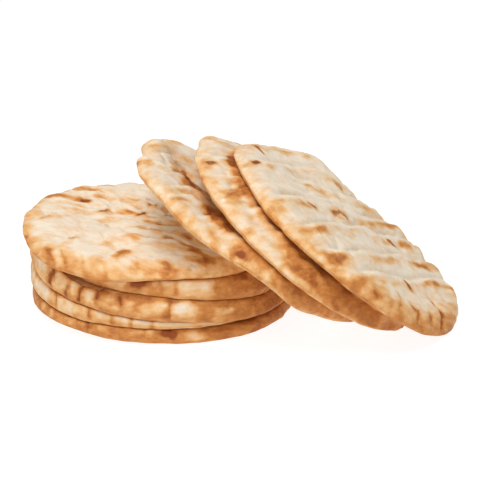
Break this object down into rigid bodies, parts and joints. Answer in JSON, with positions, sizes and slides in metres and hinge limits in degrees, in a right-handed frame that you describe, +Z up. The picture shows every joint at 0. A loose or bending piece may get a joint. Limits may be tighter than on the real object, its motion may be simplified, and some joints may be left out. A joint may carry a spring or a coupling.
{
  "type": "stack of pita breads",
  "caption": "Soft round flatbreads with toasted ridges, most lying in a flat pile and the others fanned out against its side.",
  "frame": {"origin": "middle of the footprint of the whole pile, on the table", "axes": "+Z up, -Y towards the front of the picture, +X from the flat pile towards the leaning breads"},
  "size_m": [0.285, 0.1972, 0.1107],
  "materials": {
    "crust_stacked": "matte baked crust, cream with toasted tan ridges",
    "crust_leaning": "matte baked crust, cream with toasted tan ridges"
  },
  "bodies": {
    "root": {"pita_1_bottom": "crust_stacked", "pita_2": "crust_stacked", "pita_3": "crust_stacked", "pita_4": "crust_stacked", "pita_5_top": "crust_stacked", "pita_6_leaning": "crust_leaning", "pita_7_leaning": "crust_leaning", "pita_8_leaning": "crust_leaning"}
  },
  "joints": []
}
